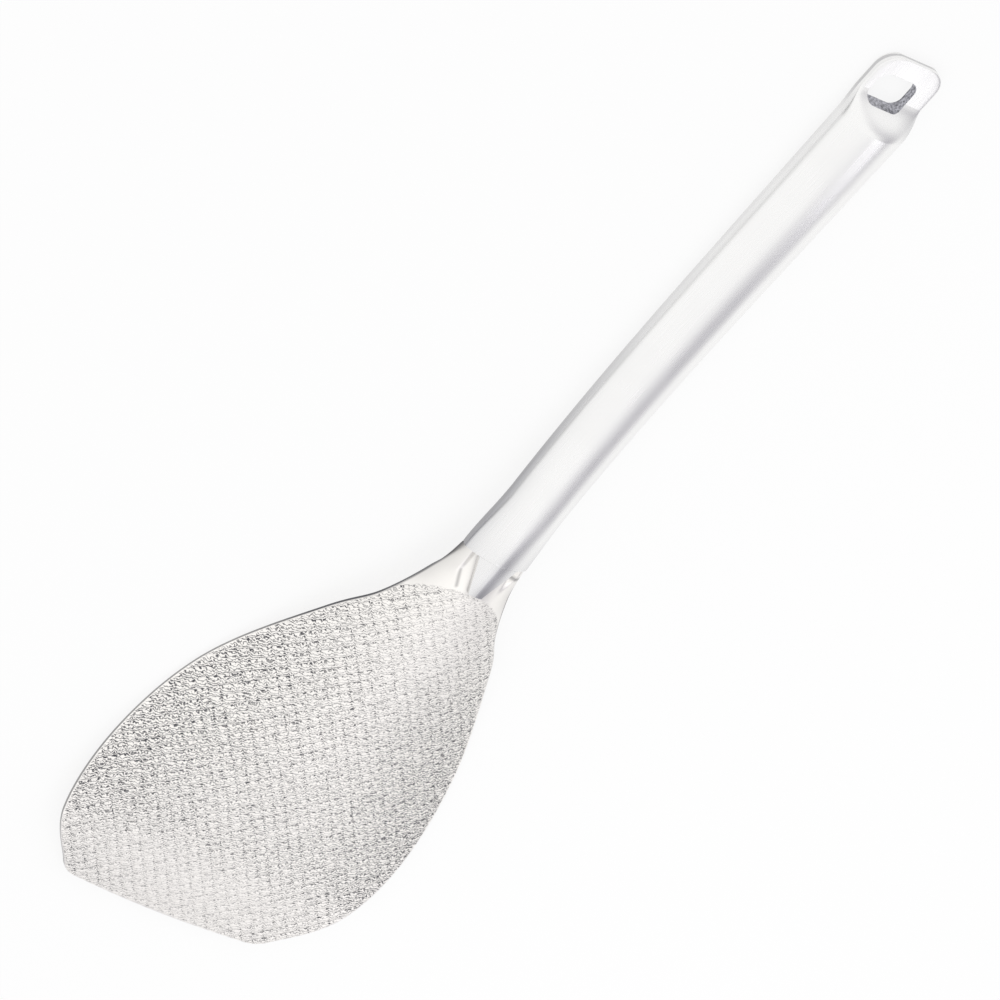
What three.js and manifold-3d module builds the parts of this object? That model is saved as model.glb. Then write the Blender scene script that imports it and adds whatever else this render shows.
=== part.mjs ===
// Stir-fry spatula: a dished steel blade held by the mouth of a hollow handle pressed from two sheets.
// Millimetres, Z up, X toward the handle's end. The tool lies face down on its tip edge and its tab.
// Places along the tool are counted from the tip of the tongue: plus to the handle, minus to the blade.

import * as THREE from "three";
import { mergeVertices } from "three/addons/utils/BufferGeometryUtils.js";
import Module from "manifold-3d";

const wasm = await Module();
wasm.setup();

// Sheets and the space left between neighbouring pieces
const BLADE_SHEET = 1.0;
const HANDLE_SHEET = 1.2;
const CLEARANCE = 0.3;

// Blade: plan
const BLADE_LENGTH = 126;
const BLADE_WIDTH = 102.4;
const TIP_FLAT_WIDTH = 57;
const TIP_CORNER_RADIUS = 9;
const TIP_CORNER_TURN = Math.PI * 0.28;
const TIP_BOW = 1.0;
const TIP_BOW_REACH = 30;
const TIP_LIFT = 2.0;
// Share of the blade's length, then share of its half width
const BLADE_FLANK = [[0, 0.265], [0.095, 0.38], [0.19, 0.555], [0.43, 0.878], [0.665, 1], [0.857, 0.933]];

// Blade: section and side view
const HEEL_DISH_RADIUS = 48.5;
const DISH_FADE = 1.3;
const TOE_CURL_RADIUS = 400;
const TOE_CURL_LENGTH = 76;
const HEEL_BEND_SOFTNESS = 0.4;

// Neck of the blade and the tang that runs on inside the handle
const NECK_REACH = 10.5;
const TANG_WIDTH = 12;
const TANG_SHOULDER = 0.4;
const TANG_LENGTH = 24;
const FLANGE_LAP = 0.6;
const FLANGE_SOFTNESS = 2.0;
const RIM_SHARPNESS = 12;

// Handle: length and widths
const HANDLE_LENGTH = 184.4;
const MOUTH_PLACE = 10;
const MOUTH_WIDTH = 21.2;
const WAIST_PLACE = 30;
const WAIST_WIDTH = 19.0;
const GRIP_WIDTH = 22.0;

// Handle: depth of the crowned back above the seam
const MOUTH_DEPTH = 3.6;
const WAIST_DEPTH = 4.8;
const GRIP_DEPTH = 6.2;
const FRONT_CROWN = 1.7;
const MOUTH_PEAK = 1.5;

// Handle: side view of the seam, falling from the neck to a straight tail
const SEAM_DROP = 6.3;
const SEAM_START_SLOPE = -0.15;
const SEAM_BOW_LENGTH = 140;

// Tongue of the back shell, which laps onto the blade
const TONGUE_TIP_WIDTH = 4.4;
const TONGUE_ROOT_WIDTH = 12;
const TONGUE_SHOULDER = 1.0;
const TONGUE_THINNING = 0.6;

// Trough of the neck, in which the tongue lies
const TROUGH_MARGIN = 0.5;
const TROUGH_SLOPE = 2.4;

// Nose of the front plate, tucked up into the neck
const NOSE_PLACE = 8;
const NOSE_WIDTH = 8;
const NOSE_SHOULDER = 0.5;

// Ramp, tab and hanging hole
const TAB_LENGTH = 11.4;
const TAB_WIDTH = 20.6;
const TAB_CORNER_RADIUS = 5.5;
const TAB_SQUARENESS = 0.15;
const RAMP_LENGTH = 9;
const HOLE_FROM_END = 9.9;
const HOLE_OFFSET = 1.4;
const HOLE_LENGTH = 9.2;
const HOLE_WIDTH = 12.4;
const HOLE_CORNER_RADIUS = 3;
const SLEEVE_WALL = 0.8;

// Fineness of the curved sheets
const BLADE_COLUMNS = 28;
const BLADE_ROWS = 34;
const CORNER_ROWS = 6;
const CROWN_COLUMNS = 24;
const PLATE_COLUMNS = 12;
const CURVE_STEPS = 10;

// Places and sizes that follow from the ones above
const RAMP_FOOT = HANDLE_LENGTH - TAB_LENGTH;
const RAMP_HEAD = RAMP_FOOT - RAMP_LENGTH;
const HOLE_PLACE = HANDLE_LENGTH - HOLE_FROM_END;
const SEAM_TAIL = HANDLE_SHEET + CLEARANCE / 2 + FRONT_CROWN;
const BEYOND = BLADE_WIDTH;

const lerp = THREE.MathUtils.lerp;

/** Share from 0 to 1 of the way between two places, eased at both ends. */
function ease(place, from, to) {
  return THREE.MathUtils.smoothstep(place, from, to);
}

/** Larger of two values, with the corner between them rounded off. */
function softMax(a, b, softness) {
  return (a + b + Math.hypot(a - b, softness)) / 2;
}

/** Smaller of two values, with the corner between them rounded off. */
function softMin(a, b, softness) {
  return (a + b - Math.hypot(a - b, softness)) / 2;
}

/** Height of the seam between back shell and front plate, which drops to the tab along the ramp. */
function seamHeight(place) {
  if (place >= SEAM_BOW_LENGTH) {
    return SEAM_TAIL - FRONT_CROWN * ease(place, RAMP_HEAD, RAMP_FOOT);
  }
  if (place <= 0) {
    return SEAM_TAIL + SEAM_DROP + SEAM_START_SLOPE * place;
  }
  const s = place / SEAM_BOW_LENGTH;
  const drop = SEAM_DROP * (1 - 3 * s ** 2 + 2 * s ** 3);
  const lean = SEAM_START_SLOPE * SEAM_BOW_LENGTH * (s - 2 * s ** 2 + s ** 3);
  return SEAM_TAIL + drop + lean;
}

/** Depth of the hollow back shell above the seam, without the ramp. */
function tubeDepth(place) {
  const taper = (place - WAIST_PLACE) / (RAMP_HEAD - WAIST_PLACE);
  const grip = lerp(WAIST_DEPTH, GRIP_DEPTH, Math.max(taper, 0));
  return lerp(MOUTH_DEPTH, grip, ease(place, 0, WAIST_PLACE));
}

/** How peaked the handle's back is: a ridge at the mouth, round on the grip, flat on the tab. */
function backPeak(place) {
  const tube = lerp(MOUTH_PEAK, 1, ease(place, 0, WAIST_PLACE));
  return lerp(tube, TAB_SQUARENESS, ease(place, RAMP_HEAD, RAMP_FOOT));
}

/** Share of the back's full depth that is left at a share of its half width. */
function crownShare(share, peak) {
  return (1 - Math.min(Math.abs(share), 1) ** (2 / peak)) ** (peak / 2);
}

/** Half width of the handle, rounded off at the tab's corners. */
function handleHalfWidth(place) {
  const taper = (place - WAIST_PLACE) / (RAMP_HEAD - WAIST_PLACE);
  const grip = lerp(WAIST_WIDTH, GRIP_WIDTH, Math.max(taper, 0));
  const tube = lerp(MOUTH_WIDTH, grip, ease(place, MOUTH_PLACE, WAIST_PLACE));
  const full = lerp(tube, TAB_WIDTH, ease(place, RAMP_HEAD, RAMP_FOOT)) / 2;
  const past = place - (HANDLE_LENGTH - TAB_CORNER_RADIUS);
  if (past <= 0) {
    return full;
  }
  const side = Math.sqrt(Math.max(TAB_CORNER_RADIUS ** 2 - past ** 2, 0));
  return full - TAB_CORNER_RADIUS + side;
}

/** Half width of the front plate: a nose inside the neck, then the width of the handle. */
function plateHalfWidth(place) {
  const shoulder = NECK_REACH + TANG_SHOULDER;
  return lerp(NOSE_WIDTH / 2, handleHalfWidth(place), ease(place, shoulder, shoulder + NOSE_SHOULDER));
}

/** Height of the blade's upper face on its middle line. */
function bladeMiddle(place) {
  const under = HANDLE_SHEET + CLEARANCE;
  const neckLine = seamHeight(place) + tubeDepth(place) - under;
  const heel = seamHeight(0) + MOUTH_DEPTH - under;
  const curlDrop = (reach) => Math.max(reach, 0) ** 2 / (2 * TOE_CURL_RADIUS);
  const fall = (heel - BLADE_SHEET - TIP_LIFT - curlDrop(TOE_CURL_LENGTH)) / BLADE_LENGTH;
  const curlStart = BLADE_LENGTH - TOE_CURL_LENGTH;
  const bladeLine = heel + fall * place - curlDrop(-place - curlStart);
  return softMin(neckLine, bladeLine, HEEL_BEND_SOFTNESS);
}

/** How far the blade's long edges lie below its middle line. */
function bladeDroop(place, halfWidth) {
  const flattening = THREE.MathUtils.clamp(1 + place / BLADE_LENGTH, 0, 1) ** DISH_FADE;
  const dish = flattening * halfWidth ** 2 / (2 * HEEL_DISH_RADIUS);
  const flange = bladeMiddle(place) - seamHeight(NECK_REACH) + FLANGE_LAP;
  return softMax(dish, flange, FLANGE_SOFTNESS * flattening);
}

/** Height of the neck's upper face at the mouth: flush with the handle, with a trough for the tongue. */
function neckFace(place, aside, halfWidth) {
  const share = Math.abs(aside) / halfWidth;
  const arch = tubeDepth(place) * crownShare(share, backPeak(place));
  const under = HANDLE_SHEET + CLEARANCE;
  const rim = under * share ** RIM_SHARPNESS;
  const bank = TONGUE_ROOT_WIDTH / 2 + TROUGH_MARGIN;
  const trough = under * (1 - ease(Math.abs(aside), bank, bank + TROUGH_SLOPE));
  return seamHeight(place) + CLEARANCE / 2 + arch - rim - trough;
}

/** How far the tang's edges lie below its middle line, so that it lies along the shell's inner face. */
function tangDroop(place, halfWidth) {
  const share = halfWidth / (handleHalfWidth(place) - HANDLE_SHEET);
  return (tubeDepth(place) - HANDLE_SHEET) * (1 - crownShare(share, backPeak(place)));
}

/** Solid between an upper and a lower line at each station, closed at the sides and ends. */
function sheet(stations) {
  const across = stations[0].upper.length;
  const positions = [];
  stations.forEach(({ upper, lower }) => {
    upper.concat(lower).forEach((point) => positions.push(point.x, point.y, point.z));
  });
  const corner = (row, column, low) => row * 2 * across + column + (low ? across : 0);
  const faces = [];
  const quad = (a, b, c, d) => faces.push(a, b, c, a, c, d);
  const last = stations.length - 1;
  for (let row = 0; row < last; row += 1) {
    for (let column = 0; column < across - 1; column += 1) {
      quad(corner(row, column), corner(row + 1, column),
        corner(row + 1, column + 1), corner(row, column + 1));
      quad(corner(row, column + 1, true), corner(row + 1, column + 1, true),
        corner(row + 1, column, true), corner(row, column, true));
    }
    quad(corner(row, 0, true), corner(row + 1, 0, true), corner(row + 1, 0), corner(row, 0));
    quad(corner(row, across - 1), corner(row + 1, across - 1),
      corner(row + 1, across - 1, true), corner(row, across - 1, true));
  }
  for (let column = 0; column < across - 1; column += 1) {
    quad(corner(0, column, true), corner(0, column),
      corner(0, column + 1), corner(0, column + 1, true));
    quad(corner(last, column), corner(last, column, true),
      corner(last, column + 1, true), corner(last, column + 1));
  }
  const geometry = new THREE.BufferGeometry();
  geometry.setAttribute("position", new THREE.Float32BufferAttribute(positions, 3));
  geometry.setIndex(faces);
  return geometry;
}

/** The same geometry as a solid that can be cut. */
function solid(geometry) {
  const bare = geometry.clone();
  bare.deleteAttribute("normal");
  bare.deleteAttribute("uv");
  const welded = mergeVertices(bare, 1e-5);
  return new wasm.Manifold(new wasm.Mesh({
    numProp: 3,
    vertProperties: new Float32Array(welded.attributes.position.array),
    triVerts: new Uint32Array(welded.index.array),
  }));
}

/** Geometry of a cut solid. */
function surface(body) {
  const mesh = body.getMesh();
  const geometry = new THREE.BufferGeometry();
  geometry.setAttribute("position", new THREE.BufferAttribute(mesh.vertProperties, 3));
  geometry.setIndex(new THREE.BufferAttribute(mesh.triVerts, 1));
  return geometry;
}

/** Upright prism over a plan outline, tall enough to pass through the whole tool. */
function prism(outline) {
  const geometry = new THREE.ExtrudeGeometry(outline, {
    depth: 2 * BEYOND,
    bevelEnabled: false,
    curveSegments: CURVE_STEPS,
  });
  return solid(geometry.translate(0, 0, -BEYOND));
}

/** Outline of the hanging hole, widened evenly by a margin. */
function holeOutline(margin) {
  const halfLength = HOLE_LENGTH / 2 + margin;
  const halfWidth = HOLE_WIDTH / 2 + margin;
  const radius = HOLE_CORNER_RADIUS + margin;
  const dx = halfLength - radius;
  const dy = halfWidth - radius;
  const quarter = Math.PI / 2;
  const outline = new THREE.Shape();
  outline.absarc(HOLE_PLACE + dx, HOLE_OFFSET + dy, radius, 0, quarter);
  outline.absarc(HOLE_PLACE - dx, HOLE_OFFSET + dy, radius, quarter, 2 * quarter);
  outline.absarc(HOLE_PLACE - dx, HOLE_OFFSET - dy, radius, 2 * quarter, 3 * quarter);
  outline.absarc(HOLE_PLACE + dx, HOLE_OFFSET - dy, radius, 3 * quarter, 4 * quarter);
  outline.closePath();
  return outline;
}

/** Plan of what is cut away beside the tongue, on the side given by the sign. */
function besideTongue(sign) {
  const tip = sign * TONGUE_TIP_WIDTH / 2;
  const root = sign * TONGUE_ROOT_WIDTH / 2;
  const outside = sign * BEYOND / 2;
  const shoulder = MOUTH_PLACE + TONGUE_SHOULDER;
  const outline = new THREE.Shape();
  outline.moveTo(-MOUTH_PLACE, tip);
  outline.lineTo(0, tip);
  outline.lineTo(MOUTH_PLACE, root);
  outline.quadraticCurveTo(shoulder, root, shoulder, root + sign * TONGUE_SHOULDER);
  outline.lineTo(shoulder, outside);
  outline.lineTo(-MOUTH_PLACE, outside);
  outline.closePath();
  return outline;
}

/** Even places from one end of a run to the other. */
function places(from, to, count) {
  return Array.from({ length: count + 1 }, (_, i) => lerp(from, to, i / count));
}

/** Places along the handle, close together where its shape changes fast. */
function handlePlaces(start) {
  const corner = HANDLE_LENGTH - TAB_CORNER_RADIUS;
  const quarter = Math.PI / 2;
  const neck = places(start, 2 * MOUTH_PLACE, 16);
  const tube = places(2 * MOUTH_PLACE, RAMP_HEAD, 18);
  const ramp = places(RAMP_HEAD, RAMP_FOOT, 10);
  const rounding = places(0, quarter, CORNER_ROWS);
  const end = rounding.map((turn) => corner + TAB_CORNER_RADIUS * Math.sin(turn));
  return [...neck, ...tube.slice(1), ...ramp.slice(1), ...end];
}

/** Arch of the handle's back at one place, drawn in by an inset. */
function archLine(place, inset, depth) {
  const base = seamHeight(place) + CLEARANCE / 2;
  const peak = backPeak(place);
  const halfWidth = handleHalfWidth(place) - inset;
  return places(Math.PI, 0, CROWN_COLUMNS).map((turn) => {
    const side = Math.sign(Math.cos(turn)) * Math.abs(Math.cos(turn)) ** peak;
    const rise = Math.abs(Math.sin(turn)) ** peak;
    const up = Math.max(depth - inset, 0) * rise;
    return new THREE.Vector3(place, halfWidth * side, base + up);
  });
}

/** Depth of the back at one place, with the ramp, and how much thinner the tongue is there. */
function backSection(place) {
  const ramp = ease(place, RAMP_HEAD, RAMP_FOOT);
  return {
    depth: lerp(tubeDepth(place), HANDLE_SHEET, ramp),
    thinning: TONGUE_THINNING * (1 - ease(place, 0, MOUTH_PLACE)),
  };
}

/** Crowned back shell of the handle, with tongue, ramp, tab and hole. */
function backShell() {
  const stations = handlePlaces(0).map((place) => {
    const { depth, thinning } = backSection(place);
    return {
      upper: archLine(place, 0, depth - thinning),
      lower: archLine(place, HANDLE_SHEET, depth),
    };
  });
  const cutters = [besideTongue(1), besideTongue(-1), holeOutline(SLEEVE_WALL + CLEARANCE)];
  const whole = solid(sheet(stations));
  return surface(cutters.reduce((body, outline) => body.subtract(prism(outline)), whole));
}

/** Line across the front plate at a depth below the seam, bowed down between the neck and the tab. */
function plateLine(place, below) {
  const halfWidth = plateHalfWidth(place);
  const crown = FRONT_CROWN * ease(place, MOUTH_PLACE, WAIST_PLACE) * (1 - ease(place, RAMP_HEAD, RAMP_FOOT));
  const height = seamHeight(place) - below;
  return places(-1, 1, PLATE_COLUMNS).map((share) => (
    new THREE.Vector3(place, halfWidth * share, height - crown * (1 - share ** 2))
  ));
}

/** Front plate of the handle, with its nose, tab and hole. */
function frontPlate() {
  const stations = handlePlaces(NOSE_PLACE).map((place) => ({
    upper: plateLine(place, CLEARANCE / 2),
    lower: plateLine(place, CLEARANCE / 2 + HANDLE_SHEET),
  }));
  return surface(solid(sheet(stations)).subtract(prism(holeOutline(SLEEVE_WALL + CLEARANCE))));
}

/** Sleeve that lines the hanging hole and ends flush with both sheets. */
function holeSleeve() {
  const reach = HOLE_LENGTH / 2 + 2 * SLEEVE_WALL;
  const run = places(HOLE_PLACE - reach, HOLE_PLACE + reach, 2 * CROWN_COLUMNS);
  const stations = run.map((place) => {
    const { depth } = backSection(place);
    const upper = archLine(place, 0, depth);
    const floor = seamHeight(place) - CLEARANCE / 2 - HANDLE_SHEET;
    return { upper, lower: upper.map((point) => new THREE.Vector3(place, point.y, floor)) };
  });
  const wall = prism(holeOutline(SLEEVE_WALL)).subtract(prism(holeOutline(0)));
  return surface(wall.intersect(solid(sheet(stations))));
}

/** Half of the blade's plan as points of place and half width, from the tang's end to the tip. */
function bladeOutline() {
  const half = BLADE_WIDTH / 2;
  const flank = BLADE_FLANK.map(([along, aside]) => new THREE.Vector2(-along * BLADE_LENGTH, aside * half));
  const corner = new THREE.EllipseCurve(
    -BLADE_LENGTH + TIP_CORNER_RADIUS, TIP_FLAT_WIDTH / 2, TIP_CORNER_RADIUS, TIP_CORNER_RADIUS,
    Math.PI - TIP_CORNER_TURN, Math.PI,
  );
  const rounding = corner.getPoints(CORNER_ROWS);
  const neck = new THREE.Vector2(NECK_REACH, MOUTH_WIDTH / 2);
  const sweep = new THREE.SplineCurve([neck, ...flank, rounding[0]]).getPoints(BLADE_ROWS);
  const tangStart = NECK_REACH + TANG_SHOULDER;
  const tang = places(tangStart + TANG_LENGTH, tangStart, 8);
  const tangPoints = tang.map((place) => new THREE.Vector2(place, TANG_WIDTH / 2));
  return [...tangPoints, ...sweep, ...rounding.slice(1)];
}

/** Line across the blade's upper face, from the left edge to the right. */
function bladeFace(place, halfWidth) {
  const onTang = place > NECK_REACH;
  const droop = onTang ? tangDroop(place, halfWidth) : bladeDroop(place, halfWidth);
  const bow = TIP_BOW * ease(-place, BLADE_LENGTH - TIP_BOW_REACH, BLADE_LENGTH);
  const neck = onTang ? 0 : ease(place, 0, NECK_REACH);
  return places(1, -1, BLADE_COLUMNS).map((share) => {
    const aside = halfWidth * share;
    const dished = bladeMiddle(place) - droop * share ** 2;
    const height = lerp(dished, neckFace(place, aside, halfWidth), neck);
    return new THREE.Vector3(place - bow * (1 - share ** 2), aside, height);
  });
}

/** The same line moved square to itself, down through the sheet. */
function underLine(line) {
  return line.map((point, i) => {
    const before = line[Math.max(i - 1, 0)];
    const after = line[Math.min(i + 1, line.length - 1)];
    const run = Math.hypot(before.y - after.y, before.z - after.z);
    const lean = (before.z - after.z) / run;
    const level = (before.y - after.y) / run;
    return new THREE.Vector3(point.x, point.y + BLADE_SHEET * lean, point.z - BLADE_SHEET * level);
  });
}

/** Dished blade with its neck and its tang. */
function blade() {
  return sheet(bladeOutline().map(({ x: place, y: halfWidth }) => {
    const upper = bladeFace(place, halfWidth);
    return { upper, lower: underLine(upper) };
  }));
}

/** Named steel piece. */
function piece(name, geometry, colour, roughness) {
  const material = new THREE.MeshStandardMaterial({ color: colour, roughness, metalness: 1 });
  const flat = geometry.clone();
  flat.computeVertexNormals();
  const mesh = new THREE.Mesh(flat, material);
  mesh.name = name;
  return mesh;
}

const group = new THREE.Group();
group.name = "stir_fry_spatula";
group.add(piece("blade", blade(), 0xc6c5bf, 0.42));
group.add(piece("handle_back_shell", backShell(), 0xd2d0ca, 0.2));
group.add(piece("handle_front_plate", frontPlate(), 0xcfcdc7, 0.24));
group.add(piece("hanging_hole_sleeve", holeSleeve(), 0xbfbdb8, 0.28));

// The origin sits under the middle of the whole tool, on the table it rests on
const box = new THREE.Box3().setFromObject(group);
const middle = box.getCenter(new THREE.Vector3());
group.children.forEach((mesh) => mesh.geometry.translate(-middle.x, -middle.y, -box.min.z));

export default group;
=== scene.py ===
"""Looks of a stir-fry spatula: an embossed steel blade in the mouth of a hollow steel handle.

Metres, Z up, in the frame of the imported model, where the tool lies face down. Places along the tool are
counted from the tip of the tongue: plus to the handle's end, minus to the tip of the blade.
"""

from __future__ import annotations

import logging
import math
from dataclasses import dataclass, field
from enum import Enum
from typing import Any

import bpy
import numpy as np
from bpy.types import ID, Material, Mesh, Node, NodeSocket, NodeTree, Object, World
from mathutils import Matrix, Vector

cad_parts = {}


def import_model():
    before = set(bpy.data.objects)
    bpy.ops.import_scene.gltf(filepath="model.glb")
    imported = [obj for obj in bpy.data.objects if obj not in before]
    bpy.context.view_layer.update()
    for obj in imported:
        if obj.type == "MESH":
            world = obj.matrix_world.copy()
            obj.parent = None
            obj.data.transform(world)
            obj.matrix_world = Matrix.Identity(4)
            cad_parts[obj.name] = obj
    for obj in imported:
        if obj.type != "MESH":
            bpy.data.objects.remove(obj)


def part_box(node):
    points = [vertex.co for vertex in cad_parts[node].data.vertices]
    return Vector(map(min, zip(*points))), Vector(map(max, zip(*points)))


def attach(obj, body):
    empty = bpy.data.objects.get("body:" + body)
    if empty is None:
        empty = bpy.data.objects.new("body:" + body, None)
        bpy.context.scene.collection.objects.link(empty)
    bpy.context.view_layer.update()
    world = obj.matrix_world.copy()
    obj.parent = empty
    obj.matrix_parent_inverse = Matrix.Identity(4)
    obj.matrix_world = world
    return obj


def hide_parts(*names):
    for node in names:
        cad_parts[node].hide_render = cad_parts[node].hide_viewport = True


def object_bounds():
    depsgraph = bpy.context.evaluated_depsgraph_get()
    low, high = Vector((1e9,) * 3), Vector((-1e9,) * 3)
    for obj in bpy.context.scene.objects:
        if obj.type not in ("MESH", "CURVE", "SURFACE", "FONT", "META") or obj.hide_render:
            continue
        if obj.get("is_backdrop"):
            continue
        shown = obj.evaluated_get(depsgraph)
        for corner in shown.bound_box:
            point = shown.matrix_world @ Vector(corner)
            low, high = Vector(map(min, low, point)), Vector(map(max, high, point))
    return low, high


LOG = logging.getLogger("spatula")
Array = np.ndarray
MM = 0.001
BODY = "root"
SHARP_EDGE = math.radians(38)
# Decimals of a metre by which two places are told apart.
PLACE_DECIMALS = 9
# Numbers of the Mix node's colour sockets: its two inputs and its result.
MIX_LIGHT = 6
MIX_DARK = 7
MIX_RESULT = 2


def eased(place: Array | float, start: Any, end: Any) -> Array:
    """Share from 0 to 1 of the way from start to end, eased at both ends."""
    share = np.clip((np.asarray(place, float) - start) / (end - start), 0.0, 1.0)
    return share * share * (3.0 - 2.0 * share)


def between(low: Any, high: Any, share: Any) -> Any:
    """Value at a share of the way from low to high."""
    return low + (high - low) * share


def soft_larger(one: Array, other: Array, softness: Array | float) -> Array:
    """Larger of two values, with the corner between them rounded off."""
    return (one + other + np.hypot(one - other, softness)) / 2


def hump(place: Array, middle: float, width: float) -> Array:
    """Share that is 1 at a middle and falls off smoothly on both sides of it."""
    return np.exp(-(((place - middle) / width) ** 2))


def corner_inset(past: Array, radius: float) -> Array:
    """How far an edge has drawn in, so far past the start of a round corner."""
    return radius - np.sqrt(np.maximum(radius**2 - np.clip(past, 0, radius) ** 2, 0))


def curve_through(knots: Array, steps: int) -> Array:
    """Smooth curve through points, evenly stepped from knot to knot.

    Args:
        knots: Points of the plane, one a row.
        steps: Steps in the whole curve.

    Returns:
        The curve's points, one a row.
    """
    last = len(knots) - 1
    along = np.linspace(0, last, steps + 1)
    start = np.minimum(along.astype(int), last - 1)
    part = (along - start)[:, None]
    before = knots[np.maximum(start - 1, 0)]
    here = knots[start]
    there = knots[start + 1]
    after = knots[np.minimum(start + 2, last)]
    leave = (there - before) / 2
    arrive = (after - here) / 2
    return (
        (2 * here - 2 * there + leave + arrive) * part**3
        + (-3 * here + 3 * there - 2 * leave - arrive) * part**2
        + leave * part
        + here
    )


class Lamp(Enum):
    """Soft lamps: the place each one lights, the way to it, its distance, its size and its watts."""

    TAB_LAMP = ((154 * MM, 0.0, 3 * MM), (-0.4, -0.61, 0.68), 0.3, 0.06, 0.0085)
    TAIL_LAMP = ((138 * MM, -4 * MM, 5 * MM), (-0.41, -0.72, 0.56), 0.3, 0.04, 0.005)
    BLADE_LAMP = ((-100 * MM, 0.0, 9 * MM), (-0.4, -0.61, 0.68), 0.35, 0.24, 0.075)


@dataclass(frozen=True)
class HandleForm:
    """Sizes of the hollow handle, and the curves that follow from them."""

    sheet: float = 1.2 * MM
    clearance: float = 0.3 * MM
    length: float = 184.4 * MM
    mouth_place: float = 10 * MM
    mouth_width: float = 21.2 * MM
    waist_place: float = 30 * MM
    waist_width: float = 19.0 * MM
    grip_width: float = 22.0 * MM
    mouth_depth: float = 3.6 * MM
    waist_depth: float = 4.8 * MM
    grip_depth: float = 6.2 * MM
    mouth_peak: float = 1.5
    front_crown: float = 1.7 * MM
    seam_drop: float = 6.3 * MM
    seam_start_slope: float = -0.15
    seam_bow_length: float = 140 * MM
    tongue_tip_width: float = 4.4 * MM
    tongue_root_width: float = 12 * MM
    tongue_shoulder: float = 1.0 * MM
    tongue_thinning: float = 0.6 * MM
    lip_place: float = 10.5 * MM
    nose_place: float = 8 * MM
    nose_width: float = 8 * MM
    nose_shoulder: float = 0.5 * MM
    nose_end: float = 10.5 * MM
    tab_length: float = 11.4 * MM
    tab_width: float = 20.6 * MM
    tab_corner_radius: float = 5.5 * MM
    tab_squareness: float = 0.15
    ramp_length: float = 9 * MM
    hole_from_end: float = 9.9 * MM
    hole_offset: float = 1.4 * MM
    hole_length: float = 9.2 * MM
    hole_width: float = 12.4 * MM
    hole_corner_radius: float = 3 * MM
    sleeve_wall: float = 0.8 * MM

    @property
    def ramp_foot(self) -> float:
        """Place where the ramp meets the tab."""
        return self.length - self.tab_length

    @property
    def ramp_head(self) -> float:
        """Place where the ramp leaves the tube."""
        return self.ramp_foot - self.ramp_length

    @property
    def hole_place(self) -> float:
        """Place of the hanging hole's middle."""
        return self.length - self.hole_from_end

    @property
    def tongue_root(self) -> float:
        """Place where the tongue flares out into the lip of the mouth."""
        return self.lip_place - self.tongue_shoulder

    @property
    def lap(self) -> float:
        """How far the neck lies below the outer face of the back over it."""
        return self.sheet + self.clearance

    @property
    def seam_tail(self) -> float:
        """Height of the seam on the straight tail."""
        return self.sheet + self.clearance / 2 + self.front_crown

    def ramp(self, place: Array) -> Array:
        """Share of the way down the ramp."""
        return eased(place, self.ramp_head, self.ramp_foot)

    def seam_height(self, place: Array | float) -> Array:
        """Height of the seam between the handle's two sheets.

        Args:
            place: Places along the tool.

        Returns:
            Heights above the lowest point of the tab.
        """
        place = np.asarray(place, float)
        share = np.clip(place / self.seam_bow_length, 0, 1)
        drop = self.seam_drop * (1 - 3 * share**2 + 2 * share**3)
        lean = self.seam_start_slope * self.seam_bow_length * (share - 2 * share**2 + share**3)
        before = self.seam_start_slope * np.minimum(place, 0)
        return self.seam_tail + drop + lean + before - self.front_crown * self.ramp(place)

    def foot(self, place: Array) -> Array:
        """Height at which the back's edge stands over the seam."""
        return self.seam_height(place) + self.clearance / 2

    def taper(self, place: Array | float) -> Array:
        """Share of the way along the grip, from the waist on."""
        past_waist = np.asarray(place, float) - self.waist_place
        return np.maximum(past_waist / (self.ramp_head - self.waist_place), 0)

    def tube_depth(self, place: Array | float) -> Array:
        """Depth of the hollow back above the seam, without the ramp."""
        grip = between(self.waist_depth, self.grip_depth, self.taper(place))
        return between(self.mouth_depth, grip, eased(place, 0, self.waist_place))

    def depth(self, place: Array) -> Array:
        """Depth of the back above the seam: the tube's, then one sheet on the tab."""
        return between(self.tube_depth(place), self.sheet, self.ramp(place))

    def peak(self, place: Array) -> Array:
        """How peaked the back is: a ridge at the mouth, round on the grip, flat on the tab."""
        tube = between(self.mouth_peak, 1.0, eased(place, 0, self.waist_place))
        return between(tube, self.tab_squareness, self.ramp(place))

    def crown(self, place: Array, share: Array) -> Array:
        """Rise of the back's outer face at a share of the way from its middle line to its edge."""
        peak = self.peak(place)
        return self.depth(place) * (1 - share ** (2 / peak)) ** (peak / 2)

    def tube_width(self, place: Array) -> Array:
        """Width of the hollow handle, from the mouth over the waist to the grip."""
        grip = between(self.waist_width, self.grip_width, self.taper(place))
        return between(self.mouth_width, grip, eased(place, self.mouth_place, self.waist_place))

    def half_width(self, place: Array) -> Array:
        """Half width of the handle, rounded off at the tab's corners."""
        full = between(self.tube_width(place), self.tab_width, self.ramp(place)) / 2
        return full - corner_inset(place - (self.length - self.tab_corner_radius), self.tab_corner_radius)

    def back_height(self, place: Array, aside: Array) -> Array:
        """Height of the back's outer face over points of the plan."""
        share = np.clip(np.abs(aside) / self.half_width(place), 0, 1)
        return self.foot(place) + self.crown(place, share)

    def plate_half_width(self, place: Array) -> Array:
        """Half width of the front plate: a nose inside the neck, then the handle's own."""
        step = eased(place, self.nose_end, self.nose_end + self.nose_shoulder)
        return between(self.nose_width / 2, self.half_width(place), step)

    def front_drop(self, place: Array) -> Array:
        """How far the front plate bows down in its middle."""
        bow = self.front_crown * eased(place, self.mouth_place, self.waist_place)
        return bow * (1 - self.ramp(place))

    def tongue_edge(self, place: Array) -> Array:
        """Half width of the tongue alone, from its tip to its root."""
        share = np.clip(place / self.tongue_root, 0, 1)
        return between(self.tongue_tip_width, self.tongue_root_width, share) / 2

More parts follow.
